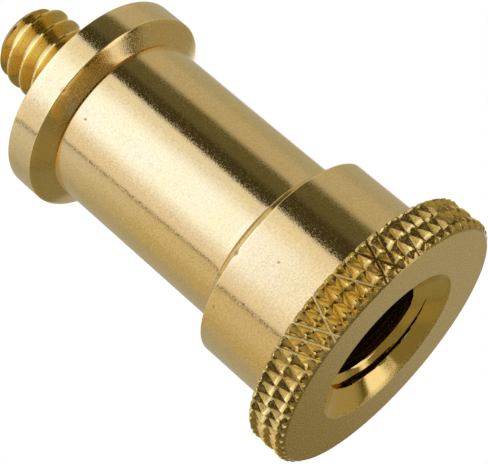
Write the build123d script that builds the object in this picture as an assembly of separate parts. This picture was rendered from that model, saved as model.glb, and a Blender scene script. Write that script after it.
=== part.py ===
from build123d import *
import math
import os

os.makedirs("parts", exist_ok=True)

# Tripod thread adapter, turned from one bar of brass.
# The axis is +Z. The part stands on its knurled socket end, whose flat face
# lies in z = 0, with the origin at the centre of that face. Sizes are in mm.

# Knurled rim at the socket end
rim_radius = 10.1            # over the points of the knurl
rim_height = 3.05
rim_front_width = 0.42       # chamfer beside the end face, measured along the radius
rim_front_height = 0.32      # and along the axis
rim_back_chamfer = 0.28      # 45 degree chamfer beside the barrel

# Diamond knurl rolled into the rim
knurl_count = 63             # points in one row
knurl_row_height = 1.13      # from a row to the next, staggered one
knurl_depth = 0.42
knurl_first_row = 0.6        # height of the lowest full row of points

# Barrel, the thick part of the spigot, with a taper down to the waist
spigot_radius = 8.0
barrel_height = 6.36
waist_step = 1.6             # how far the waist lies inside the spigot size
barrel_taper = 30.4          # degrees from square to the axis

# Waist, its slightly necked end and the taper up to the collar
waist_length = 14.2          # the straight part
neck_length = 0.9
neck_depth = 0.2
collar_taper = 24.8          # degrees from square to the axis

# Collar below the stud
collar_height = 2.24
edge_break = 0.12            # on the sharp turned edges

# Stud, a plain wall at the major diameter of a 1/4 inch thread, 20 to the inch
stud_radius = 3.175
stud_height = 7.3
stud_tip_chamfer = 0.75

# Socket, a plain wall at the tapping size of a 3/8 inch thread, 16 to the inch
socket_radius = 3.97
socket_depth = 13.0          # from the end face to the end of the full bore
drill_point_angle = 118.0
mouth_width = 2.08           # how far the countersink opens past the socket wall
mouth_half_angle = 55.5      # degrees from the axis


def rise(width, angle):
    """Height gained along the axis by a taper that crosses width at an angle."""
    return width * math.tan(math.radians(angle))


# Radii and heights that follow from the sizes above
waist_radius = spigot_radius - waist_step
neck_radius = waist_radius - neck_depth
mouth_radius = socket_radius + mouth_width
mouth_depth = rise(mouth_width, 90 - mouth_half_angle)
drill_point_height = rise(socket_radius, 90 - drill_point_angle / 2)
barrel_top = rim_height + barrel_height
waist_bottom = barrel_top + rise(waist_step, barrel_taper)
neck_bottom = waist_bottom + waist_length
neck_top = neck_bottom + neck_length
collar_bottom = neck_top + rise(waist_step + neck_depth, collar_taper)
collar_top = collar_bottom + collar_height
stud_top = collar_top + stud_height

# Half section of the turned outside, walked from the end face to the stud tip
outside = [
    (0, 0),
    (rim_radius - rim_front_width, 0),
    (rim_radius, rim_front_height),
    (rim_radius, rim_height - rim_back_chamfer),
    (rim_radius - rim_back_chamfer, rim_height),
    (spigot_radius, rim_height),
    (spigot_radius, barrel_top - edge_break),
    (spigot_radius - edge_break, barrel_top + rise(edge_break, barrel_taper)),
    (waist_radius, waist_bottom),
    (waist_radius, neck_bottom),
    (neck_radius, neck_top),
    (spigot_radius - edge_break, collar_bottom - rise(edge_break, collar_taper)),
    (spigot_radius, collar_bottom + edge_break),
    (spigot_radius, collar_top - edge_break),
    (spigot_radius - edge_break, collar_top),
    (stud_radius, collar_top),
    (stud_radius, stud_top - stud_tip_chamfer),
    (stud_radius - stud_tip_chamfer, stud_top),
    (0, stud_top),
]

# Half section of the socket, from the countersunk mouth to the drill point
socket = [
    (0, 0),
    (mouth_radius, 0),
    (socket_radius, mouth_depth),
    (socket_radius, socket_depth),
    (0, socket_depth + drill_point_height),
]


def turned(section):
    """Turn a closed half section, given as radius and height, round the axis."""
    points = [Vector(radius, 0, height) for radius, height in section]
    face = Face(Wire.make_polygon(points, close=True))
    return Solid.revolve(face, 360, Axis.Z)


def knurl_corner(column, level):
    """One corner of the knurled surface.

    A level has twice knurl_count columns. Points and the crossings of two
    valleys take turns along it, and the next level is the same, one column on.
    """
    is_point = (column + level) % 2 == 0
    radius = rim_radius if is_point else rim_radius - knurl_depth
    angle = math.pi * column / knurl_count
    height = knurl_first_row + knurl_row_height * level
    return Vector(radius * math.cos(angle), radius * math.sin(angle), height)


def triangle(*corners):
    return Face(Wire.make_polygon(corners, close=True))


def knurled_drum(first_level, last_level):
    """A closed drum whose side is covered in four-sided pyramids.

    Each cell between two columns and two levels is split along the valley that
    crosses it, so its two triangles are flanks of neighbouring pyramids.
    """
    columns = 2 * knurl_count
    faces = []
    for level in range(first_level, last_level):
        for column in range(columns):
            low_left = knurl_corner(column, level)
            low_right = knurl_corner(column + 1, level)
            high_left = knurl_corner(column, level + 1)
            high_right = knurl_corner(column + 1, level + 1)
            if (column + level) % 2 == 0:
                faces.append(triangle(low_left, low_right, high_left))
                faces.append(triangle(high_right, high_left, low_right))
            else:
                faces.append(triangle(low_right, high_right, low_left))
                faces.append(triangle(high_left, low_left, high_right))
    for level in (first_level, last_level):
        faces.append(triangle(*[knurl_corner(column, level) for column in range(columns)]))
    return Solid(Shell(faces))


# The knurl starts below the end face and stops above the rim, so the rim's own
# height and chamfers trim it.
first_level = -math.ceil(knurl_first_row / knurl_row_height) - 1
last_level = math.ceil((rim_height - knurl_first_row) / knurl_row_height) + 1
rim_band = turned([
    (rim_radius - 2 * knurl_depth, -rim_front_height),
    (rim_radius + knurl_depth, -rim_front_height),
    (rim_radius + knurl_depth, rim_height),
    (rim_radius - 2 * knurl_depth, rim_height),
])
knurl_cut = rim_band - knurled_drum(first_level, last_level)

adapter = turned(outside) - knurl_cut - turned(socket)
stud_adapter = adapter.solids()[0]
stud_adapter.label = "stud_adapter"
export_step(stud_adapter, "parts/stud_adapter.step")

print("solids", len(adapter.solids()), "faces", len(stud_adapter.faces()))
print("volume mm3", round(stud_adapter.volume, 2))
print("overall height", round(stud_top, 3), "collar", round(collar_bottom, 3), round(collar_top, 3))
print("socket wall from", round(mouth_depth, 3), "to", socket_depth)
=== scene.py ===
import math

import bmesh
import bpy
import numpy as np
from mathutils import Matrix


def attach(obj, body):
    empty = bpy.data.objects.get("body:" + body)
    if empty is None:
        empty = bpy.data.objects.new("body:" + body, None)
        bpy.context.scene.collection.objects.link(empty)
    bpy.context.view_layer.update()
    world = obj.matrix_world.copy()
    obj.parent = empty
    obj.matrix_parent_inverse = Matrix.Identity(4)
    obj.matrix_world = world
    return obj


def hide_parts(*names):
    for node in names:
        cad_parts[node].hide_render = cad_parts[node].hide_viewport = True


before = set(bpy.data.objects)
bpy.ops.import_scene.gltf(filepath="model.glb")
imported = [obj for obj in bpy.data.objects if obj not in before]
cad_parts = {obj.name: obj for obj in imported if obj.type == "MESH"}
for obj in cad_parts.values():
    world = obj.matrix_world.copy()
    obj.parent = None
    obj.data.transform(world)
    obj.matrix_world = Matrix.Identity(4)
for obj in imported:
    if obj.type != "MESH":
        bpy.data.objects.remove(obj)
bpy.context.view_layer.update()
print("frame loaded:", sorted(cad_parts))

mm = 0.001
fullTurn = 2 * math.pi
flankSlope = math.sqrt(3)    # of 60 degree thread flanks

cameraSetup = {
    "azimuth": -90.28,       # degrees round the part's axis
    "distance": 110.538,     # mm from the axis
    "height": -30.749,       # mm, below the end face
    "lens": 128.909,         # mm, on a sensor of this width
    "sensor": 36,
    "right": (0.64965, 0.28184, -0.70606),   # the camera's own axes when it stands at -90 degrees
    "up": (0.76023, -0.23647, 0.60509),
    "back": (0.00358, -0.92986, -0.36788),
    "clip": (0.001, 10),     # m
}


# The camera's axes are those it has at -90 degrees, turned on round the part to its azimuth
def makeCamera(setup):
    data = bpy.data.cameras.new("camera")
    data.sensor_fit = "HORIZONTAL"
    data.sensor_width = setup["sensor"]
    data.lens = setup["lens"]
    data.clip_start, data.clip_end = setup["clip"]
    camera = bpy.data.objects.new("camera", data)
    bpy.context.scene.collection.objects.link(camera)
    axes = Matrix((setup["right"], setup["up"], setup["back"])).transposed().to_4x4()
    place = Matrix.Translation((0, -setup["distance"] * mm, setup["height"] * mm))
    turn = Matrix.Rotation(math.radians(setup["azimuth"] + 90), 4, "Z")
    camera.matrix_world = turn @ place @ axes
    bpy.context.scene.camera = camera


makeCamera(cameraSetup)
bpy.context.scene.view_settings.view_transform = "Standard"
print("camera set")

# Sizes are in mm and degrees, and heights are measured from the end face
rim = {
    "radius": 10.1, "height": 3.05,
    "frontWidth": 0.48, "frontHeight": 0.38, "backChamfer": 0.28,
    "points": 63, "rowHeight": 1.13, "depth": 0.42, "firstRow": 0.6,
    "pointRound": 0.17,      # how blunt the points are, as a share of a flank
    "grooveFlat": 0.085,     # half the flat bottom of a groove, as a share of a flank
    "uneven": 0.14,          # how much deeper or shallower single grooves are
    "grooveShade": 0.42,      # how much painted shade darkens the bottom of a groove
}
spigot = {
    "radius": 8.0, "barrelHeight": 6.36, "waistStep": 1.6, "barrelTaper": 30.4,
    "waistLength": 14.2, "neckLength": 0.9, "neckDepth": 0.2,
    "neckDrop": 0.06,        # the height over which the neck narrows
    "collarTaper": 24.8, "collarHeight": 2.24,
    "edgeRound": 0.06,       # on the sharp turned edges
    "footRound": 0.05,       # where the barrel meets the rim
    "waistRound": (0.06, 0.08),              # at the foot of the waist, down the taper and up the wall
    # Small dings: degrees from the camera's side, height, half width around, half width along, depth
    "dings": [(-12.4, 9.43, 0.18, 0.12, 0.09), (4.8, 9.47, 0.12, 0.09, 0.05),
              (-7.7, 26.30, 0.16, 0.10, 0.06)],
}
stud = {
    "major": 3.175, "minor": 2.40, "pitch": 1.27, "height": 7.3, "tipChamfer": 0.75,
    "crestFlat": 0.125,      # share of the pitch
    "rootRound": 0.04,
    "crestHeight": 31.8565,  # where a crest crosses the camera's side
    "runOut": 1.1,           # the groove fades over this height beside the collar
    "turnRows": [0, 0.0625, 0.16, 0.26, 0.36, 0.415, 0.5, 0.585, 0.64, 0.74, 0.84, 0.9375],
}
socket = {
    "minor": 3.97, "major": 4.76, "pitch": 1.5875, "depth": 13.0, "threadEnd": 11.2,
    "rootFlat": 0.125, "runOut": 0.8,
    "grooveHeight": 0.2931,  # where a groove crosses the camera's side
    "drillAngle": 118.0, "drillRing": 0.6, "mouthWidth": 2.08, "mouthAngle": 55.5,
    "mouthEnd": 0.82,        # where the rows begin to follow the thread
    "fineDepth": 2.3, "seenDepth": 5.2,      # deeper turns have fewer points
    "turnRows": [0, 0.0625, 0.14, 0.21, 0.28, 0.36, 0.43, 0.5, 0.57, 0.64, 0.72, 0.79, 0.86, 0.9375],
}

threadColumns = 2 * rim["points"]
bodyColumns = 4 * rim["points"]
edgeColumns = 8 * rim["points"]
knurlColumns = 16 * rim["points"]


# Height gained along the axis by a taper that crosses a width at an angle
def rise(width, angle):
    return width * math.tan(math.radians(angle))


waistRadius = spigot["radius"] - spigot["waistStep"]
neckRadius = waistRadius - spigot["neckDepth"]
mouthRadius = socket["minor"] + socket["mouthWidth"]
drillPoint = socket["depth"] + rise(socket["minor"], 90 - socket["drillAngle"] / 2)
barrelTop = rim["height"] + spigot["barrelHeight"]
waistBottom = barrelTop + rise(spigot["waistStep"], spigot["barrelTaper"])
neckBottom = waistBottom + spigot["waistLength"]
neckTop = neckBottom + spigot["neckLength"]
collarBottom = neckTop + rise(spigot["waistStep"] + spigot["neckDepth"], spigot["collarTaper"])
collarTop = collarBottom + spigot["collarHeight"]
studTop = collarTop + stud["height"]


# The angle of each column round the axis
def angles(columns):
    return fullTurn * np.arange(columns) / columns


# A triangle wave: 0 on every even number, 1 on every odd one
def sawDistance(value):
    return np.abs(value - 2 * np.round(value / 2))


# One family of V grooves. Groove k runs where the value is 2k + 1, and each has
# its own depth, which the ridges between them hide.
def grooveFamily(value, depths):
    groove = np.floor(value / 2).astype(int) % len(depths)
    return sawDistance(value) * depths[groove]


randomDraw = np.random.default_rng(11)
leftDepths = 1 + rim["uneven"] * randomDraw.uniform(-1, 1, rim["points"])
rightDepths = 1 + rim["uneven"] * randomDraw.uniform(-1, 1, rim["points"])


# The knurl: with c the column and r the row of a place on the rim, one family of
# grooves follows c + r and the other c - r, and the deeper of the two wins. What
# is left between them is rows of four-sided points.
def knurlRadius(angle, height):
    column = angle * rim["points"] / math.pi
    row = (height - rim["firstRow"]) / rim["rowHeight"]
    groove = np.maximum(grooveFamily(column + row, leftDepths), grooveFamily(column - row, rightDepths))
    blunt = rim["pointRound"]
    groove = (np.sqrt(groove ** 2 + blunt ** 2) - blunt) / (math.sqrt(1 + blunt ** 2) - blunt)
    return rim["radius"] - rim["depth"] * np.minimum(groove / (1 - rim["grooveFlat"]), 1)


# The rim's side: the knurl, trimmed by the two chamfers
def rimRadius(angle, height):
    front = rim["radius"] - rim["frontWidth"] * (1 - height / rim["frontHeight"])
    back = rim["radius"] - rim["backChamfer"] + (rim["height"] - height)
    return np.minimum(knurlRadius(angle, height), np.minimum(front, back))


# How far a height is from the nearest crest (or groove) of a right-hand helix,
# which climbs one pitch in a turn
def helixDistance(angle, height, pitch, start):
    along = (height - start) / pitch - (angle / fullTurn - cameraSetup["azimuth"] / 360)
    return pitch * np.abs(along - np.round(along))


# The stud: 60 degree flanks down from a narrow crest to a rounded root, trimmed
# by the tip's chamfer and fading out beside the collar
def studRadius(angle, height):
    away = helixDistance(angle, height, stud["pitch"], stud["crestHeight"])
    depth, roundness = stud["major"] - stud["minor"], stud["rootRound"]
    drop = np.maximum(0, away - stud["pitch"] * stud["crestFlat"] / 2) * flankSlope
    left = np.hypot(depth - np.minimum(drop, depth), roundness) - roundness
    drop = depth * (1 - left / (math.hypot(depth, roundness) - roundness))
    drop = drop * np.clip((height - collarTop) / stud["runOut"], 0, 1)
    tip = stud["major"] - stud["tipChamfer"] + (studTop - height)
    return np.minimum(stud["major"] - drop, tip)


# The socket: the same flanks cut outwards from the tapping size, and the
# countersink in front of them
def socketRadius(angle, height):
    away = helixDistance(angle, height, socket["pitch"], socket["grooveHeight"])
    depth = socket["major"] - socket["minor"]
    run = np.maximum(0, away - socket["pitch"] * socket["rootFlat"] / 2) * flankSlope
    fade = np.clip((socket["threadEnd"] - height) / socket["runOut"], 0, 1)
    groove = np.clip(depth - run, 0, depth) * fade
    cone = mouthRadius - height * math.tan(math.radians(socket["mouthAngle"]))
    return np.maximum(socket["minor"] + groove, cone)


# A ding is a dip shaped like a bell curve, both round the part and along it
def dingDepth(angle, height):
    depth = np.zeros(np.broadcast_shapes(np.shape(angle), np.shape(height)))
    for away, place, wide, tall, deep in spigot["dings"]:
        turn = angle - math.radians(cameraSetup["azimuth"] + away)
        around = spigot["radius"] * (turn - fullTurn * np.round(turn / fullTurn))
        depth = depth + deep * np.exp(-(around / wide) ** 2 - ((height - place) / tall) ** 2)
    return depth


# The points and faces of the piece, gathered stretch by stretch
class Skin:
    def __init__(self):
        self.points, self.faces, self.count = [], [], 0

    def add(self, points, faces):
        self.points.append(points)
        self.faces += (faces + self.count).tolist()
        self.count += len(points)


# From a grid of radii and heights, a column for each angle, to points in space
def cornersOf(radius, height):
    angle = angles(radius.shape[1])
    return np.stack([radius * np.cos(angle), radius * np.sin(angle), height], axis=-1).reshape(-1, 3)


# Rows of points round the axis joined by quads. turnRows says how many rows a
# helix climbs in one turn, so that its last column meets the right row.
def addRows(skin, radius, height, turnRows=0):
    rows, columns = radius.shape
    row, column = np.meshgrid(np.arange(rows), np.arange(columns), indexing="ij")
    nextRow = np.where(column == columns - 1, np.minimum(row + turnRows, rows - 1), row)
    here = row * columns + column
    beside = nextRow * columns + (column + 1) % columns
    nextUp = np.minimum(nextRow[:-1] + 1, rows - 1)
    besideUp = nextUp * columns + (column[:-1] + 1) % columns
    quads = np.stack([here[:-1], beside[:-1], besideUp, here[1:]], axis=-1).reshape(-1, 4)
    skin.add(cornersOf(radius, height), quads)


# A turned stretch: a list of (radius, height), every point a full circle
def addTurned(skin, outline, columns):
    outline = np.array(outline, float)
    height = outline[:, 1:] * np.ones((1, columns))
    addRows(skin, outline[:, :1] - dingDepth(angles(columns), height), height)


# A band from a ring of so many columns to a ring of twice as many. A ring is a
# (radius, height), and the radius may differ from column to column.
def addStep(skin, columns, coarse, fine):
    here = np.arange(columns)
    beside = (here + 1) % columns
    middle = columns + 2 * here + 1
    corners = [(here, middle, columns + 2 * here), (here, beside, middle),
               (beside, columns + 2 * beside, middle)]
    rings = []
    for (radius, height), count in ((coarse, columns), (fine, 2 * columns)):
        height = np.full((1, count), float(height))
        rings.append(cornersOf(radius - dingDepth(angles(count), height), height))
    skin.add(np.concatenate(rings), np.concatenate([np.stack(face, axis=-1) for face in corners]))


# Points of a rounded edge: a curve that leaves the first point towards the
# corner and comes into the last point from it
def roundEdge(first, corner, last, steps):
    t = np.linspace(0, 1, steps + 1)[:, None]
    a, b, c = (np.array(p, float) for p in (first, corner, last))
    return ((1 - t) ** 2 * a + 2 * t * (1 - t) * b + t ** 2 * c).tolist()


# Points evenly spaced on a straight line
def between(first, last, steps):
    t = np.linspace(0, 1, steps + 1)[:, None]
    return (np.array(first) * (1 - t) + np.array(last) * t).tolist()


# A disc or cone that closes on the axis
def addPole(skin, radius, height, tip):
    columns = len(radius)
    ring = cornersOf(radius[None, :], np.full((1, columns), height))
    here = np.arange(columns)
    fan = np.stack([np.full(columns, columns), here, (here + 1) % columns], axis=-1)
    skin.add(np.concatenate([ring, [[0, 0, tip]]]), fan)


# Rows that follow a helix from one height to another. Rows outside the stretch
# are held at its ends, where the doubles are merged afterwards.
def addThread(skin, columns, radiusAt, low, high, pitch, start, turnRows):
    climb = angles(columns) / fullTurn - cameraSetup["azimuth"] / 360
    base = start + pitch * math.floor((low - start) / pitch - 2 - climb.max())
    turns = math.ceil((high - base) / pitch) + 1
    steps = (np.arange(turns)[:, None] + np.array(turnRows)[None, :]).reshape(-1, 1)
    height = np.clip(base + pitch * (steps + climb[None, :]), low, high)
    addRows(skin, radiusAt(angles(columns)[None, :], height), height, len(turnRows))


# The heights of the knurled band's rows: eighths of a knurl row, sixteenths where
# the front chamfer crosses them, and four even steps up the back chamfer. The first
# two are counted past both edges and then cut to the band.
def knurlRows():
    eighth = rim["rowHeight"] / 8
    gap = 0.01
    backStart = rim["height"] - rim["backChamfer"]
    front = rim["firstRow"] + eighth / 2 * np.arange(-16, 1)
    middle = rim["firstRow"] + eighth * np.arange(-8, 40)
    return np.concatenate([
        [0], front[(front > gap) & (front < rim["frontHeight"])],
        middle[(middle > rim["frontHeight"]) & (middle < backStart - gap)],
        np.linspace(backStart, rim["height"], 5),
    ])


# The knurled band, as triangles whose edges lie along the grooves. It returns the
# radii of its lowest and its highest ring.
def addKnurl(skin):
    rows = knurlRows()
    height = rows[:, None] * np.ones((1, knurlColumns))
    radius = rimRadius(angles(knurlColumns), height)
    row, column = np.meshgrid(np.arange(len(rows) - 1), np.arange(knurlColumns), indexing="ij")
    a = row * knurlColumns + column
    b = row * knurlColumns + (column + 1) % knurlColumns
    c, d = b + knurlColumns, a + knurlColumns
    middleColumn = (column + 0.5) * rim["points"] * 2 / knurlColumns
    middleRow = ((height[:-1] + height[1:]) / 2 - rim["firstRow"]) / rim["rowHeight"]
    rising = sawDistance(middleColumn - middleRow) > sawDistance(middleColumn + middleRow)
    one = np.where(rising[..., None], np.stack([a, b, c], -1), np.stack([a, b, d], -1))
    two = np.where(rising[..., None], np.stack([a, c, d], -1), np.stack([b, c, d], -1))
    skin.add(cornersOf(radius, height), np.concatenate([one.reshape(-1, 3), two.reshape(-1, 3)]))
    return radius[0], radius[-1]


# Where the number of columns doubles, in mm from the edge or the wall beside it. Of
# two numbers the first is the coarse ring and the second the fine one.
doubling = {
    "deepBore": 0.1, "bore": 0.05,           # heights of the bands across the thread
    "mouth": 0.3, "face": (0.5, 0.3), "rimBack": (0.4, 0.9),
    "barrelEdge": (0.5, 0.36), "taper": (0.7, 0.45), "collarEdge": (0.5, 0.3),
}
# Rows beside an edge, in mm from it, where a stretch begins or ends
besideEdge = {
    "barrelFoot": 0.6, "taper": (0.2, 0.3), "waistFoot": 0.6, "neckStart": 0.3, "neckEnd": 0.4,
    "lip": 0.3, "collarFoot": 0.2, "collarTop": 0.4, "studFoot": 0.6,
}


# A doubling band in the bore, whose rings cut across the thread
def addBoreStep(skin, columns, top, bottom):
    addStep(skin, columns, (socketRadius(angles(columns), top), top),
            (socketRadius(angles(2 * columns), bottom), bottom))


# From the drill point down the bore and the thread to the end of the countersink
def addSocket(skin):
    ring, wall, deep = socket["drillRing"], socket["minor"], socket["threadEnd"]
    centre = (ring, drillPoint - rise(ring, 90 - socket["drillAngle"] / 2))
    addPole(skin, np.full(threadColumns, ring), centre[1], drillPoint)
    addTurned(skin, between(centre, (wall, socket["depth"]), steps=4) + [(wall, deep)], threadColumns)

    pitch, start = socket["pitch"], socket["grooveHeight"]
    seen, fine, mouth = socket["seenDepth"], socket["fineDepth"], socket["mouthEnd"]
    turnRows = np.array(socket["turnRows"] + [1])
    fineRows = np.linspace(turnRows[:-1], turnRows[1:], 2, endpoint=False).T.ravel()
    top = seen + doubling["deepBore"]
    addThread(skin, threadColumns, socketRadius, top, deep, pitch, start, turnRows[:-1:2])
    addBoreStep(skin, threadColumns, top, seen)
    top = fine + doubling["bore"]
    addThread(skin, bodyColumns, socketRadius, top, seen, pitch, start, turnRows[:-1])
    addBoreStep(skin, bodyColumns, top, fine)
    addThread(skin, edgeColumns, socketRadius, mouth, fine, pitch, start, fineRows)
    height = np.linspace(mouth, 0, 4)[:, None] * np.ones((1, edgeColumns))
    addRows(skin, socketRadius(angles(edgeColumns)[None, :], height), height)


# The end face, the knurled side and the rim's back
def addRim(skin):
    inner, outer = mouthRadius + doubling["mouth"], rim["radius"] - rim["frontWidth"]
    coarse, fine = (outer - inward for inward in doubling["face"])
    addStep(skin, bodyColumns, (inner, 0), (mouthRadius, 0))
    addTurned(skin, between((inner, 0), (coarse, 0), steps=4), bodyColumns)
    addStep(skin, bodyColumns, (coarse, 0), (fine, 0))
    foot, crown = addKnurl(skin)
    addStep(skin, edgeColumns, (fine, 0), (foot, 0))
    coarse, fine = (spigot["radius"] + outward for outward in doubling["rimBack"])
    addStep(skin, edgeColumns, (fine, rim["height"]), (crown, rim["height"]))
    addStep(skin, bodyColumns, (coarse, rim["height"]), (fine, rim["height"]))


# A point on the taper beside the edge of the barrel or the collar, so far inward
# from the wall. The angle is negative where the taper goes down.
def onTaper(inward, edge, angle):
    return spigot["radius"] - inward, edge + rise(inward, angle)


# The barrel, its rounded edge and the taper, up to where the columns double
def addBarrel(skin):
    wide, angle = spigot["radius"], spigot["barrelTaper"]
    edge, foot = spigot["edgeRound"], spigot["footRound"]
    coarse, fine = (barrelTop - down for down in doubling["barrelEdge"])
    outline = [(wide + doubling["rimBack"][0], rim["height"])]
    outline += [(wide + foot, rim["height"]), (wide, rim["height"] + foot)]
    outline += between((wide, rim["height"] + besideEdge["barrelFoot"]), (wide, coarse), steps=5)
    addTurned(skin, outline, bodyColumns)
    addStep(skin, bodyColumns, (wide, coarse), (wide, fine))
    outline = between((wide, fine), (wide, barrelTop - edge), steps=3)
    outline += roundEdge(outline[-1], (wide, barrelTop), onTaper(edge, barrelTop, angle), steps=5)[1:]
    coarse, fine = doubling["taper"]
    outline += [onTaper(inward, barrelTop, angle) for inward in (*besideEdge["taper"], fine)]
    addTurned(skin, outline, edgeColumns)
    addStep(skin, bodyColumns, onTaper(coarse, barrelTop, angle), outline[-1])


# The rest of the taper, the waist, its neck and the cone under the collar
def addWaist(skin):
    inward, upward = spigot["waistRound"]
    foot = (waistRadius + inward, waistBottom - rise(inward, spigot["barrelTaper"]))
    outline = [onTaper(doubling["taper"][0], barrelTop, spigot["barrelTaper"])]
    outline += roundEdge(foot, (waistRadius, waistBottom), (waistRadius, waistBottom + upward), steps=4)
    outline += between((waistRadius, waistBottom + besideEdge["waistFoot"]),
                       (waistRadius, neckBottom - besideEdge["neckStart"]), steps=8)
    outline += [(waistRadius, neckTop - down) for down in (besideEdge["neckEnd"], spigot["neckDrop"])]
    lip = onTaper(doubling["taper"][0], collarBottom, -spigot["collarTaper"])
    outline += between((neckRadius, neckTop), lip, steps=4)
    addTurned(skin, outline, bodyColumns)


# The collar, with a rounded edge below and above
def addCollar(skin):
    wide, edge, angle = spigot["radius"], spigot["edgeRound"], -spigot["collarTaper"]
    lip, near = (onTaper(inward, collarBottom, angle) for inward in doubling["taper"])
    coarse, fine = (collarBottom + up for up in doubling["collarEdge"])
    addStep(skin, bodyColumns, lip, near)
    outline = [near, onTaper(besideEdge["lip"], collarBottom, angle)]
    under = onTaper(edge, collarBottom, angle)
    outline += roundEdge(under, (wide, collarBottom), (wide, collarBottom + edge), steps=5)
    outline += [(wide, collarBottom + besideEdge["collarFoot"]), (wide, fine)]
    addTurned(skin, outline, edgeColumns)
    addStep(skin, bodyColumns, (wide, coarse), (wide, fine))
    outline = between((wide, coarse), (wide, collarTop - edge), steps=3)
    outline += roundEdge(outline[-1], (wide, collarTop), (wide - edge, collarTop), steps=4)[1:]
    outline += between((wide - besideEdge["collarTop"], collarTop),
                       (stud["major"] + besideEdge["studFoot"], collarTop), steps=4)
    addTurned(skin, outline, bodyColumns)
    addStep(skin, threadColumns, (stud["major"], collarTop), outline[-1])


# The threaded stud and its flat tip, closed on the axis
def addStud(skin):
    addThread(skin, threadColumns, studRadius, collarTop, studTop, stud["pitch"],
              stud["crestHeight"], stud["turnRows"])
    top = studRadius(angles(threadColumns), studTop)
    addRows(skin, np.stack([top, top / 2]), np.full((2, threadColumns), studTop))
    addPole(skin, top / 2, studTop, studTop)


# The whole adapter as one closed skin, from the drill point to the stud's tip
def adapterSkin():
    skin = Skin()
    for addPart in (addSocket, addRim, addBarrel, addWaist, addCollar, addStud):
        addPart(skin)
    return skin


# How each place is finished: how dull it is, how deep its gold, how much darker its colour is painted and
# how sandy. That darkening is painted shade in the bore and on the shoulder, and a slightly darker tone on
# the face and the thread. The walls are smooth and the countersink is the smoothest, and the other places
# are duller.
finish = {
    "walls": (0.055, 0.0, 1.0, 0.9), "face": (0.22, 0.8, 0.96, 2.6), "knurl": (0.11, 0.8, 1.0, 1.3),
    # The bore's third value, 0.35, is painted shade in the recess
    "thread": (0.12, 0.8, 0.90, 1.2), "bore": (0.28, 1.0, 0.35, 1.0), "mouth": (0.04, 0.9, 1.0, 0.4),
    # The shoulder's third value, 0.80, is painted shade that dims its reflection
    "cone": (0.08, 0.0, 1.0, 1.0), "shoulder": (0.07, 0.8, 0.80, 1.0),
}
boreDarkFrom = 2.2           # mm, deeper than this the socket is dull, and painted shade darkens its colour
wearAndHighlightReach = {"point": 0.12, "crest": 0.05, "edge": 0.12, "edgeWall": 0.3}      # mm


# 1 where a distance is zero, falling evenly to 0 at a reach
def nearness(away, reach):
    return np.clip(1 - np.abs(away) / reach, 0, 1)


# Where handling has polished the metal, which makes it less dull, and where a highlight is painted into its
# colour: the knurl's points, the stud's crests and the edges of barrel and collar
def wearAndHighlightAt(radius, height):
    wearAndHighlight = nearness(radius - rim["radius"], wearAndHighlightReach["point"]) * (height < rim["height"])
    crest = nearness(radius - stud["major"], wearAndHighlightReach["crest"]) * (height > collarTop)
    wearAndHighlight = np.maximum(wearAndHighlight, crest)
    for edge in (barrelTop, collarBottom, collarTop):
        wall = nearness(radius - spigot["radius"], wearAndHighlightReach["edgeWall"])
        wearAndHighlight = np.maximum(wearAndHighlight, nearness(height - edge, wearAndHighlightReach["edge"]) * wall)
    return wearAndHighlight


# The values of each of the mesh's points, from its distance from the axis and its
# height. The gap is less than any step of the part. The painted shade in the grooves of the
# knurl's side grows with the cube of how far down a point lies.
def finishAt(points):
    radius, height = np.hypot(points[:, 0], points[:, 1]) / mm, points[:, 2] / mm
    gap = 0.02
    inside = (radius < mouthRadius - gap) & (height < drillPoint + gap)
    places = {
        "bore": inside & (height > boreDarkFrom),
        "mouth": inside & (height > gap),
        "face": height < gap,
        "knurl": (radius > spigot["radius"] + spigot["footRound"] + gap) & (height < rim["height"] + gap),
        "shoulder": (height > barrelTop + spigot["edgeRound"] + gap) & (height < waistBottom),
        "cone": (height > neckTop - spigot["neckDrop"] - gap)
                & (height < collarBottom - spigot["edgeRound"]),
        "thread": height > collarTop + gap,
    }
    values = {"wearAndHighlight": wearAndHighlightAt(radius, height)}
    for i, label in enumerate(("dullness", "depthOfGold", "toneAndShade", "sandy")):
        choices = [finish[name][i] for name in places]
        values[label] = np.select(list(places.values()), choices, finish["walls"][i])
    side = places["knurl"] & (height > gap) & (height < rim["height"] - gap)
    sunk = side * np.clip((rim["radius"] - radius) / rim["depth"], 0, 1)
    # Painted shade, deeper towards the bottom of the knurl's grooves
    values["toneAndShade"] = values["toneAndShade"] * (1 - rim["grooveShade"] * sunk ** 3)
    return values


meshSetup = {
    "merge": 0.002,          # mm, points closer than this are one
    "sharp": 28,             # degrees, from which an edge is drawn sharp
}


# One closed piece, its faces outwards, with the finish of every point as attributes
def makePiece(name, skin, material, setup):
    data = bpy.data.meshes.new(name)
    data.from_pydata(np.concatenate(skin.points) * mm, [], skin.faces)
    shell = bmesh.new()
    shell.from_mesh(data)
    bmesh.ops.remove_doubles(shell, verts=shell.verts, dist=setup["merge"] * mm)
    bmesh.ops.recalc_face_normals(shell, faces=shell.faces)
    openEdges = sum(1 for edge in shell.edges if not edge.is_manifold)
    volume = shell.calc_volume() / mm ** 3
    print(name, "faces", len(shell.faces), "open edges", openEdges, "volume mm3", round(volume, 1))
    shell.to_mesh(data)
    shell.free()
    data.shade_smooth()
    data.set_sharp_from_angle(angle=math.radians(setup["sharp"]))
    points = np.empty(3 * len(data.vertices), np.float32)
    data.vertices.foreach_get("co", points)
    for label, values in finishAt(points.reshape(-1, 3)).items():
        attribute = data.attributes.new(label, "FLOAT", "POINT")
        attribute.data.foreach_set("value", values.astype(np.float32))
    piece = bpy.data.objects.new(name, data)
    bpy.context.scene.collection.objects.link(piece)
    data.materials.append(material)
    return piece


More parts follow.
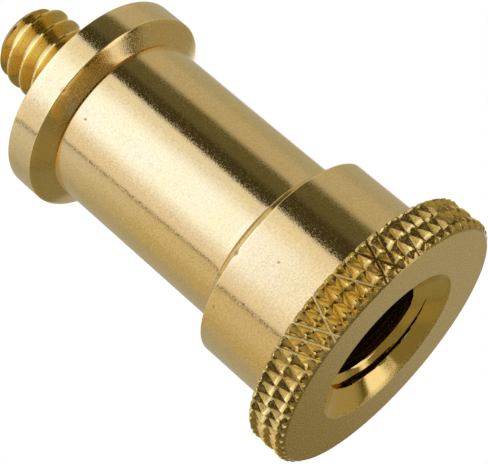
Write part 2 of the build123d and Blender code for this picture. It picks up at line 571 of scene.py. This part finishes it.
brass = {
    "gold": (0.865, 0.655, 0.29), "deepGold": (0.86, 0.62, 0.18),
    "cloud": 0.35,           # patches per mm, and how far they change the colour
    "cloudDepth": 0.07,
    "cloudRed": 0.4, "cloudBlue": 3.0,       # shares of that in red, and the other way in blue
    "grain": 8.0,            # grains per mm, and how far they change the colour and the dullness
    "grainDepth": 0.15, "grainDull": 0.10,
    "grainRange": (0.36, 0.64),              # what is used of the noise, which keeps the grains crisp
    "matt": 0.10,            # how much duller the coarsest grains are
    "mattFrom": 0.55,
    "marks": 9.0,            # turning marks per mm, and how often they vary round the part
    "marksAround": 0.18,
    "marksDepth": 0.06,
    "markBump": 0.5, "grainBump": 1.1,       # micrometres
    "polishAndHighlight": 0.22,       # how much brighter worn edges and points are painted, a painted highlight, and half as much less dull from polish
    "pits": 0.42,            # cells per mm, and the share of them with a pit
    "pitShare": 0.2,
    "pitSize": 0.05,         # share of a cell
    "pitDark": 0.9, "pitDull": 0.3,
    "leastDull": 0.04,
    # Specks: distance from the axis, degrees from the camera's side, height, size in mm, how dark
    "specks": [(8.0, -29.1, 7.05, 0.14, 0.75), (8.0, -41.4, 8.88, 0.12, 0.6), (8.0, -3.1, 6.73, 0.12, 0.6),
               (6.4, -14.4, 24.52, 0.13, 0.7)],
    "speckCore": 0.3,        # the share of a speck that is fully dark
}


# Adds a node and feeds its inputs: a plain value is set, a socket is linked
def addNode(tree, kind, inputs=None, **settings):
    node = tree.nodes.new("ShaderNode" + kind)
    for label, value in settings.items():
        setattr(node, label, value)
    for label, value in (inputs or {}).items():
        if isinstance(value, bpy.types.NodeSocket):
            tree.links.new(value, node.inputs[label])
        else:
            node.inputs[label].default_value = value
    return node


# Short forms of the nodes that come most often
def mathNode(tree, operation, first, second=0.0, third=0.0):
    return addNode(tree, "Math", {0: first, 1: second, 2: third}, operation=operation).outputs[0]


def noiseNode(tree, place, scale, detail, roughness):
    return addNode(tree, "TexNoise", {"Vector": place, "Scale": scale, "Detail": detail,
                                      "Roughness": roughness}).outputs["Fac"]


def attributeNode(tree, label):
    return addNode(tree, "Attribute", attribute_name=label).outputs["Fac"]


# From noise around 0.5 to a factor around 1 that goes so far up and down
def swing(tree, noise, depth):
    return mathNode(tree, "MULTIPLY_ADD", noise, 2 * depth, 1 - depth)


# How much of a dark pit or speck a place has: small pits in some of the cells of a
# Voronoi pattern, and round specks at their own places
def pitsAndSpecks(tree, inMm, look):
    cells = addNode(tree, "TexVoronoi", {"Vector": inMm, "Scale": look["pits"], "Randomness": 1.0})
    chance = addNode(tree, "SeparateColor", {"Color": cells.outputs["Color"]}).outputs["Red"]
    reach = addNode(tree, "MapRange", {"Value": chance, "From Min": 1 - look["pitShare"], "From Max": 1.0,
                                       "To Max": look["pitSize"]}).outputs[0]
    inside = mathNode(tree, "SUBTRACT", reach, cells.outputs["Distance"])
    pit = addNode(tree, "MapRange", {"Value": inside, "From Max": look["pitSize"] / 2}).outputs[0]
    for fromCentre, turn, height, size, dark in look["specks"]:
        around = math.radians(cameraSetup["azimuth"] + turn)
        centre = (fromCentre * math.cos(around), fromCentre * math.sin(around), height)
        away = addNode(tree, "VectorMath", {0: inMm, 1: centre}, operation="DISTANCE").outputs["Value"]
        core = size * look["speckCore"]
        speck = addNode(tree, "MapRange", {"Value": away, "From Min": size, "From Max": core,
                                           "To Max": dark}, interpolation_type="SMOOTHSTEP").outputs[0]
        pit = mathNode(tree, "MAXIMUM", pit, speck)
    return pit


# Turned brass. Marks follow the height less the distance from the axis, so that they
# run round every wall, cone and face, and grain, clouds and pits lie over them.
def turnedBrass(look):
    material = bpy.data.materials.new("turnedBrass")
    material.use_nodes = True
    tree = material.node_tree
    shader = tree.nodes["Principled BSDF"]
    place = addNode(tree, "TexCoord").outputs["Object"]
    inMm = addNode(tree, "Mapping", {"Vector": place, "Scale": (1000, 1000, 1000)}).outputs["Vector"]
    x, y, z = addNode(tree, "SeparateXYZ", {0: inMm}).outputs
    flat = addNode(tree, "CombineXYZ", {"X": x, "Y": y}).outputs[0]
    fromAxis = addNode(tree, "VectorMath", {0: flat}, operation="LENGTH").outputs["Value"]
    run = mathNode(tree, "SUBTRACT", z, fromAxis)

    lathe = addNode(tree, "CombineXYZ", {
        "X": mathNode(tree, "MULTIPLY", run, look["marks"]),
        "Y": mathNode(tree, "MULTIPLY", x, look["marksAround"]),
        "Z": mathNode(tree, "MULTIPLY", y, look["marksAround"])}).outputs[0]
    marks = noiseNode(tree, lathe, scale=1.0, detail=3.0, roughness=0.6)
    grain = noiseNode(tree, inMm, scale=look["grain"], detail=2.0, roughness=0.75)
    low, high = look["grainRange"]
    grain = addNode(tree, "MapRange", {"Value": grain, "From Min": low, "From Max": high}).outputs[0]
    clouds = noiseNode(tree, inMm, scale=look["cloud"], detail=3.0, roughness=0.6)
    pit = pitsAndSpecks(tree, inMm, look)
    sandy, wearAndHighlight = attributeNode(tree, "sandy"), attributeNode(tree, "wearAndHighlight")

    gold = addNode(tree, "Mix", {"Factor": attributeNode(tree, "depthOfGold"), "A": (*look["gold"], 1),
                                 "B": (*look["deepGold"], 1)}, data_type="RGBA").outputs["Result"]
    cloudBlue = swing(tree, clouds, look["cloudDepth"] * look["cloudBlue"])
    warmth = addNode(tree, "CombineColor", {
        "Red": swing(tree, clouds, look["cloudDepth"] * look["cloudRed"]), "Green": 1.0,
        "Blue": mathNode(tree, "SUBTRACT", 2.0, cloudBlue)}).outputs[0]
    tinted = addNode(tree, "Mix", {"Factor": 1.0, "A": gold, "B": warmth},
                     data_type="RGBA", blend_type="MULTIPLY").outputs["Result"]
    sand = mathNode(tree, "MULTIPLY", sandy, mathNode(tree, "SUBTRACT", grain, 0.5))
    shade = mathNode(tree, "MULTIPLY_ADD", sand, 2 * look["grainDepth"], 1.0)
    # The colour's shade: sand grain, turning marks, pits, the painted shade of the bore, the shoulder and
    # the knurl's grooves, and the painted highlight on worn edges and points
    for factor in (swing(tree, marks, look["marksDepth"]),
                   mathNode(tree, "MULTIPLY_ADD", pit, -look["pitDark"], 1.0),
                   attributeNode(tree, "toneAndShade"),
                   mathNode(tree, "MULTIPLY_ADD", wearAndHighlight, look["polishAndHighlight"], 1.0)):
        shade = mathNode(tree, "MULTIPLY", shade, factor)
    color = addNode(tree, "VectorMath", {0: tinted, "Scale": shade}, operation="SCALE").outputs["Vector"]

    rough = mathNode(tree, "MINIMUM", sandy, 1.0)
    matt = addNode(tree, "MapRange", {"Value": grain, "From Min": look["mattFrom"],
                                      "To Max": look["matt"]}).outputs[0]
    matt = mathNode(tree, "MULTIPLY_ADD", grain, look["grainDull"], matt)
    dullness = mathNode(tree, "MULTIPLY_ADD", matt, rough, attributeNode(tree, "dullness"))
    dullness = mathNode(tree, "MULTIPLY_ADD", pit, look["pitDull"], dullness)
    dullness = mathNode(tree, "MULTIPLY_ADD", wearAndHighlight, -look["polishAndHighlight"] / 2, dullness)
    dullness = mathNode(tree, "MAXIMUM", dullness, look["leastDull"])
    micron = 1e-6
    bump = addNode(tree, "Bump", {"Height": marks, "Distance": look["markBump"] * micron}).outputs["Normal"]
    bump = addNode(tree, "Bump", {"Height": grain, "Distance": look["grainBump"] * micron,
                                  "Strength": rough, "Normal": bump}).outputs["Normal"]

    shader.inputs["Metallic"].default_value = 1
    tree.links.new(color, shader.inputs["Base Color"])
    tree.links.new(dullness, shader.inputs["Roughness"])
    tree.links.new(bump, shader.inputs["Normal"])
    return material


adapter = makePiece("adapter", adapterSkin(), turnedBrass(brass), meshSetup)
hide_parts("stud_adapter")
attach(adapter, "root")
print("adapter made")

# What the metal mirrors: a tent round the part with lit and dark panels, seen in
# reflections only. Directions are in degrees as the part sees them, azimuths from the
# camera's side and elevations from the horizon. A panel spans from one azimuth to
# another and from one elevation to another, with soft edges in the same order, and
# lies over those above it. "lean" moves its sides with the elevation, and "tilt"
# moves its height with the azimuth.
tent = {
    "reach": 0.5, "middle": 0.018,           # m
    "columns": 480, "rows": 180,
    "room": (0.45, 0.43, 0.36),
    "leanLevel": 20,         # the elevation at which a leaning side is where "across" says
    "panels": {
        "ceiling": {"across": (-180, 180), "up": (62, 100), "soft": (1, 1, 20, 1),
                    "light": (0.6, 0.59, 0.57)},
        "leftWall": {"across": (-115, -50), "up": (-8, 60), "soft": (30, 1, 8, 12),
                     "light": (0.56, 0.48, 0.32)},
        "leftHigh": {"across": (-115, -50), "up": (26, 60), "soft": (30, 1, 5, 12),
                     "light": (0.57, 0.59, 0.62)},
        "leftGlow": {"across": (-92, -61), "up": (-8, 60), "soft": (24, 1.5, 8, 12),
                     "lean": (0, -0.88), "light": (0.67, 0.61, 0.50)},
        "leftGlowHigh": {"across": (-92, -61), "up": (26, 60), "soft": (24, 1.5, 5, 12),
                         "lean": (0, -0.88), "light": (0.68, 0.70, 0.86)},
        "rightWall": {"across": (70, 112), "up": (2, 60), "soft": (4, 16, 8, 12),
                      "light": (0.53, 0.49, 0.42)},
        "backdrop": {"across": (160, 184), "up": (2, 25), "soft": (12, 6, 6, 7),
                     "light": (1.2, 1.2, 1.3)},
        "table": {"across": (-180, 180), "up": (-100, -6), "soft": (1, 1, 1, 5),
                  "light": (0.22, 0.187, 0.10)},
        "tableRight": {"across": (110, 179), "up": (-50, -6), "soft": (20, 10, 12, 5),
                       "light": (0.37, 0.325, 0.22)},
        "faceCard": {"across": (169, 182), "up": (-36, -8), "soft": (8, 6, 8, 4),
                     "light": (0.42, 0.40, 0.36)},
        "tableFront": {"across": (-36, 30), "up": (-32, -6), "soft": (14, 8, 10, 5),
                       "light": (0.08, 0.066, 0.04)},
        "tableCorner": {"across": (32, 84), "up": (-30, -6), "soft": (8, 10, 10, 5),
                        "light": (0.38, 0.33, 0.22)},
        "tableLeft": {"across": (-165, -110), "up": (-61, -42), "soft": (14, 14, 8, 8),
                      "light": (0.29, 0.24, 0.115)},
        "tableBack": {"across": (-168, -138), "up": (-38, -10), "soft": (8, 8, 8, 6),
                      "light": (0.27, 0.24, 0.13)},
        "tableGlow": {"across": (-80, 40), "up": (-73, -50), "soft": (20, 20, 4, 8),
                      "light": (0.25, 0.335, 0.55)},
        "lowCard": {"across": (66, 147), "up": (-69, -51), "soft": (10, 5, 4, 2),
                    "tilt": -0.35, "light": (1.12, 1.10, 1.3)},
        "cardGap": {"across": (126, 133.8), "up": (-56.5, -49), "soft": (4, 1, 1.5, 2),
                    "light": (0.08, 0.066, 0.03)},
        "flag": {"across": (20, 77.5), "up": (-6, 45), "soft": (1, 10, 4, 6),
                 "light": (0.125, 0.115, 0.065)},
        "flagCore": {"across": (20, 53), "up": (-6, 42), "soft": (1, 8, 4, 6),
                     "light": (0.058, 0.050, 0.026)},
        "window": {"across": (-61.5, 31.8), "up": (-8, 58), "soft": (1.2, 1, 4, 14),
                   "lean": (-0.88, 0.36), "light": (0.93, 0.91, 1.0)},
        "windowCore": {"across": (-61.5, 31.8), "up": (19, 46), "soft": (1.2, 1, 5, 14),
                       "lean": (-0.88, 0.36), "light": (0.91, 0.94, 1.12)},
        "windowHeart": {"across": (-45, 12), "up": (17.8, 42), "soft": (42, 26, 8, 14),
                        "light": (1.21, 1.43, 2.3)},
        "windowLeft": {"across": (-61.5, -45), "up": (-8, 58), "soft": (1.2, 30, 4, 14),
                       "lean": (-0.88, 0), "light": (0.87, 0.83, 0.95)},
        "windowTop": {"across": (-61.5, 31.8), "up": (46, 62), "soft": (1.2, 1, 8, 8),
                      "lean": (-0.88, 0.36), "light": (0.55, 0.50, 0.38)},
        "windowEdge": {"across": (-64, -61.3), "up": (-4, 52), "soft": (0.8, 0.8, 4, 4),
                       "lean": (-0.88, -0.88), "light": (0.13, 0.11, 0.08)},
    },
}


# A ramp from 0 to 1 round zero, as wide as the edge is soft
def softEdge(distance, width):
    t = np.clip(distance / width + 0.5, 0, 1)
    return t * t * (3 - 2 * t)


# How much of a panel each direction sees: the product of its four edges
def panelShare(panel, azimuth, elevation, leanLevel):
    leans = panel.get("lean", (0, 0))
    left, right = (edge + lean * (elevation - leanLevel) for edge, lean in zip(panel["across"], leans))
    middle = (left + right) / 2
    away = (azimuth - middle + 180) % 360 - 180
    up = elevation - panel.get("tilt", 0) * away
    low, high = panel["up"]
    softLeft, softRight, softLow, softHigh = panel["soft"]
    half = (right - left) / 2
    sides = softEdge(half + away, softLeft) * softEdge(half - away, softRight)
    sides = np.where(half > 179, 1, sides)   # a panel all round has no sides
    return sides * softEdge(up - low, softLow) * softEdge(high - up, softHigh)


# An empty node material and its tree
def stageMaterial(name):
    material = bpy.data.materials.new(name)
    material.use_nodes = True
    material.node_tree.nodes.clear()
    return material, material.node_tree


# A mesh of rings of points, joined by quads and closed round the axis
def makeRings(name, points, rings, columns, material):
    ring, column = np.meshgrid(np.arange(rings - 1), np.arange(columns), indexing="ij")
    here = ring * columns + column
    beside = ring * columns + (column + 1) % columns
    quads = np.stack([here, here + columns, beside + columns, beside], -1).reshape(-1, 4)
    data = bpy.data.meshes.new(name)
    data.from_pydata(points.reshape(-1, 3), [], quads.tolist())
    data.materials.append(material)
    made = bpy.data.objects.new(name, data)
    bpy.context.scene.collection.objects.link(made)
    return made


# The tent shines with the colour that each of its points carries
def glowMaterial():
    material, tree = stageMaterial("tentGlow")
    light = addNode(tree, "Attribute", attribute_name="light").outputs["Color"]
    glow = addNode(tree, "Emission", {"Color": light}).outputs["Emission"]
    addNode(tree, "OutputMaterial", {"Surface": glow})
    return material


# A sphere round the part, one point for each direction, with the light there as its colour
def makeTent(setup):
    rows, columns = setup["rows"] + 1, setup["columns"]
    around = np.linspace(-180, 180, columns, endpoint=False)
    elevation, azimuth = np.meshgrid(np.linspace(-90, 90, rows), around, indexing="ij")
    light = np.ones((rows, columns, 1)) * np.array(setup["room"])
    for panel in setup["panels"].values():
        share = panelShare(panel, azimuth, elevation, setup["leanLevel"])[..., None]
        light = light * (1 - share) + np.array(panel["light"]) * share
    turn, high = np.radians(azimuth + cameraSetup["azimuth"]), np.radians(elevation)
    points = np.stack([np.cos(turn) * np.cos(high), np.sin(turn) * np.cos(high), np.sin(high)], -1)
    points = points * setup["reach"] + np.array([0, 0, setup["middle"]])
    tentObject = makeRings("lightTent", points, rows, columns, glowMaterial())
    color = np.concatenate([light, np.ones((rows, columns, 1))], -1)
    attribute = tentObject.data.attributes.new("light", "FLOAT_COLOR", "POINT")
    attribute.data.foreach_set("color", color.ravel().astype(np.float32))
    for kind in ("camera", "diffuse", "shadow", "transmission", "volume_scatter"):
        setattr(tentObject, "visible_" + kind, False)
    print("tent made of", len(setup["panels"]), "panels")


makeTent(tent)

floorSetup = {
    "hole": rim["radius"] - rim["frontWidth"] - 0.04,   # mm, so the end face also shows from below
    "rings": (0.012, 0.02, 0.05, 0.2, 1.0, 3.0),        # m
    "color": (0.86, 0.86, 0.85),
}


# A matt floor that is clear from below
def paleFloor(setup):
    material, tree = stageMaterial("paleFloor")
    matt = addNode(tree, "BsdfDiffuse", {"Color": (*setup["color"], 1)}).outputs["BSDF"]
    clear = addNode(tree, "BsdfTransparent").outputs["BSDF"]
    below = addNode(tree, "NewGeometry").outputs["Backfacing"]
    surface = addNode(tree, "MixShader", {0: below, 1: matt, 2: clear}).outputs["Shader"]
    addNode(tree, "OutputMaterial", {"Surface": surface})
    radii = np.array([setup["hole"] * mm, *setup["rings"]])
    around = angles(bodyColumns)
    points = np.stack([radii[:, None] * np.cos(around), radii[:, None] * np.sin(around),
                       np.zeros((len(radii), len(around)))], -1)
    floor = makeRings("floor", points, len(radii), len(around), material)
    floor.visible_glossy = False
    print("floor laid")


paleFloor(floorSetup)

studio = {
    "fill": 0.75,            # the room's light on matt surfaces
    "softboxes": {           # azimuth from the camera's side, elevation, size in m, power in W
        "key": (-14, 48, 0.30, 1.1),
        "back": (165, 55, 0.35, 0.5),
    },
    "reach": 0.45,           # m
}


# The room is white to the camera, in reflections and through clear parts, and a
# softer fill otherwise
def whiteRoom(setup):
    world = bpy.data.worlds.new("whiteRoom")
    bpy.context.scene.world = world
    world.use_nodes = True
    tree = world.node_tree
    tree.nodes.clear()
    path = addNode(tree, "LightPath")
    seen = mathNode(tree, "MAXIMUM", path.outputs["Is Camera Ray"], path.outputs["Is Glossy Ray"])
    seen = mathNode(tree, "MAXIMUM", seen, path.outputs["Is Transmission Ray"])
    fill = addNode(tree, "Background", {"Color": (1, 1, 1, 1), "Strength": setup["fill"]})
    white = addNode(tree, "Background", {"Color": (1, 1, 1, 1), "Strength": 1.0})
    surface = addNode(tree, "MixShader", {0: seen, 1: fill.outputs["Background"],
                                          2: white.outputs["Background"]}).outputs["Shader"]
    addNode(tree, "OutputWorld", {"Surface": surface})


# Square lamps that face the part, seen neither by the camera nor in the metal
def addSoftboxes(setup):
    for name, (azimuth, elevation, size, power) in setup["softboxes"].items():
        data = bpy.data.lights.new(name + "Softbox", "AREA")
        data.size = size
        data.energy = power
        lamp = bpy.data.objects.new(name + "Softbox", data)
        bpy.context.scene.collection.objects.link(lamp)
        around = Matrix.Rotation(math.radians(azimuth + cameraSetup["azimuth"]), 4, "Z")
        upward = Matrix.Rotation(-math.radians(elevation), 4, "Y")
        away = Matrix.Translation((setup["reach"], 0, 0))
        lamp.matrix_world = around @ upward @ away @ Matrix.Rotation(math.radians(90), 4, "Y")
        lamp.visible_camera = False
        lamp.visible_glossy = False


whiteRoom(studio)
addSoftboxes(studio)
print("studio set")
